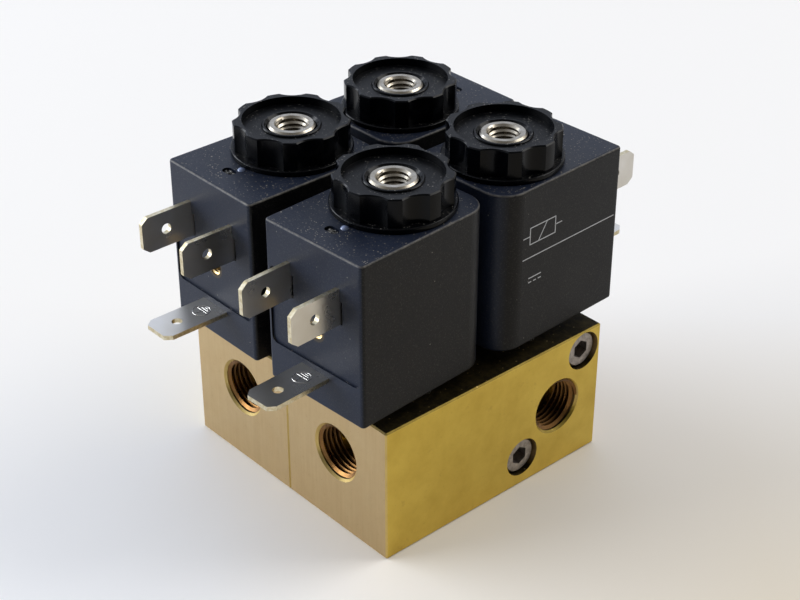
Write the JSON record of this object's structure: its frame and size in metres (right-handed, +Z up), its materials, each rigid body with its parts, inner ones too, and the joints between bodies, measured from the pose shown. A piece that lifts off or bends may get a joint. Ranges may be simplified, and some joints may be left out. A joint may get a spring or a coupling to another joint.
{
  "type": "pneumatic valve island",
  "caption": "Small pneumatic valve island: solenoid valves with flat blade terminals and lobed hand nuts, side by side on brass blocks screwed together through their sides.",
  "frame": {"origin": "middle of the blocks' underside, on the seam between them", "axes": "+Z up along the valve axes, +Y along the blocks to the back, with the work ports in the -Y ends, +X across the blocks to the face with the screw heads"},
  "size_m": [0.05, 0.082, 0.0619],
  "materials": {
    "block_brass": "dull machined brass",
    "coil_plastic": "fine satin moulding",
    "nut_plastic": "satin moulding",
    "blade_metal": "tinned",
    "insert_metal": "turned",
    "screw_steel": "plated",
    "tube_steel": "drawn and machined stainless",
    "core_metal": "bright turned",
    "plunger_steel": "ground stainless",
    "spring_steel": "drawn",
    "yoke_steel": "zinc plated",
    "winding_copper": "enamelled copper wire",
    "seal_rubber": "matt"
  },
  "bodies": {
    "base": {"block_left": "block_brass", "block_right": "block_brass", "cap_screws": "screw_steel", "seam_seal": "seal_rubber", "guide_tube_front_left": "tube_steel", "fixed_core_front_left": "core_metal", "base_seal_front_left": "seal_rubber", "return_spring_front_left": "spring_steel", "guide_tube_front_right": "tube_steel", "fixed_core_front_right": "core_metal", "base_seal_front_right": "seal_rubber", "return_spring_front_right": "spring_steel", "guide_tube_back_left": "tube_steel", "fixed_core_back_left": "core_metal", "base_seal_back_left": "seal_rubber", "return_spring_back_left": "spring_steel", "guide_tube_back_right": "tube_steel", "fixed_core_back_right": "core_metal", "base_seal_back_right": "seal_rubber", "return_spring_back_right": "spring_steel"},
    "plunger_front_left_body": {"plunger_front_left": "plunger_steel", "plunger_seal_front_left": "seal_rubber"},
    "coil_front_left_body": {"coil_body_front_left": "coil_plastic", "coil_winding_front_left": "winding_copper", "coil_yoke_front_left": "yoke_steel", "line_blade_left_front_left": "blade_metal", "line_blade_right_front_left": "blade_metal", "earth_blade_front_left": "blade_metal", "terminal_insert_front_left": "insert_metal"},
    "nut_front_left_body": {"knurled_nut_front_left": "nut_plastic"},
    "plunger_front_right_body": {"plunger_front_right": "plunger_steel", "plunger_seal_front_right": "seal_rubber"},
    "coil_front_right_body": {"coil_body_front_right": "coil_plastic", "coil_winding_front_right": "winding_copper", "coil_yoke_front_right": "yoke_steel", "line_blade_left_front_right": "blade_metal", "line_blade_right_front_right": "blade_metal", "earth_blade_front_right": "blade_metal", "terminal_insert_front_right": "insert_metal"},
    "nut_front_right_body": {"knurled_nut_front_right": "nut_plastic"},
    "plunger_back_left_body": {"plunger_back_left": "plunger_steel", "plunger_seal_back_left": "seal_rubber"},
    "coil_back_left_body": {"coil_body_back_left": "coil_plastic", "coil_winding_back_left": "winding_copper", "coil_yoke_back_left": "yoke_steel", "line_blade_left_back_left": "blade_metal", "line_blade_right_back_left": "blade_metal", "earth_blade_back_left": "blade_metal", "terminal_insert_back_left": "insert_metal"},
    "nut_back_left_body": {"knurled_nut_back_left": "nut_plastic"},
    "plunger_back_right_body": {"plunger_back_right": "plunger_steel", "plunger_seal_back_right": "seal_rubber"},
    "coil_back_right_body": {"coil_body_back_right": "coil_plastic", "coil_winding_back_right": "winding_copper", "coil_yoke_back_right": "yoke_steel", "line_blade_left_back_right": "blade_metal", "line_blade_right_back_right": "blade_metal", "earth_blade_back_right": "blade_metal", "terminal_insert_back_right": "insert_metal"},
    "nut_back_right_body": {"knurled_nut_back_right": "nut_plastic"}
  },
  "joints": [
    {"name": "plunger_front_left_lift", "type": "slide", "parent": "base", "child": "plunger_front_left_body", "axis": [0, 0, 1], "range_m": [0, 0.0008], "stiffness_N_per_m": 500, "springref_m": -0.004, "deforming": ["return_spring_front_left"]},
    {"name": "coil_front_left_swivel", "type": "hinge", "parent": "base", "child": "coil_front_left_body", "pos_m": [-0.0125, -0.0118, 0.0272], "axis": [0, 0, 1], "range_deg": [-5, 5]},
    {"name": "nut_front_left_turn", "type": "hinge", "parent": "base", "child": "nut_front_left_body", "pos_m": [-0.0125, -0.0118, 0.0562], "axis": [0, 0, 1], "range_deg": [0, 90]},
    {"name": "plunger_front_right_lift", "type": "slide", "parent": "base", "child": "plunger_front_right_body", "axis": [0, 0, 1], "range_m": [0, 0.0008], "stiffness_N_per_m": 500, "springref_m": -0.004, "deforming": ["return_spring_front_right"]},
    {"name": "coil_front_right_swivel", "type": "hinge", "parent": "base", "child": "coil_front_right_body", "pos_m": [0.0125, -0.0118, 0.0272], "axis": [0, 0, 1], "range_deg": [-8.2, 1.8]},
    {"name": "nut_front_right_turn", "type": "hinge", "parent": "base", "child": "nut_front_right_body", "pos_m": [0.0125, -0.0118, 0.0562], "axis": [0, 0, 1], "range_deg": [0, 90]},
    {"name": "plunger_back_left_lift", "type": "slide", "parent": "base", "child": "plunger_back_left_body", "axis": [0, 0, 1], "range_m": [0, 0.0008], "stiffness_N_per_m": 500, "springref_m": -0.004, "deforming": ["return_spring_back_left"]},
    {"name": "coil_back_left_swivel", "type": "hinge", "parent": "base", "child": "coil_back_left_body", "pos_m": [-0.0125, 0.0118, 0.0272], "axis": [0, 0, 1], "range_deg": [-5, 5]},
    {"name": "nut_back_left_turn", "type": "hinge", "parent": "base", "child": "nut_back_left_body", "pos_m": [-0.0125, 0.0118, 0.0562], "axis": [0, 0, 1], "range_deg": [0, 90]},
    {"name": "plunger_back_right_lift", "type": "slide", "parent": "base", "child": "plunger_back_right_body", "axis": [0, 0, 1], "range_m": [0, 0.0008], "stiffness_N_per_m": 500, "springref_m": -0.004, "deforming": ["return_spring_back_right"]},
    {"name": "coil_back_right_swivel", "type": "hinge", "parent": "base", "child": "coil_back_right_body", "pos_m": [0.0125, 0.0118, 0.0272], "axis": [0, 0, 1], "range_deg": [-7.2, 2.8]},
    {"name": "nut_back_right_turn", "type": "hinge", "parent": "base", "child": "nut_back_right_body", "pos_m": [0.0125, 0.0118, 0.0562], "axis": [0, 0, 1], "range_deg": [0, 90]}
  ]
}
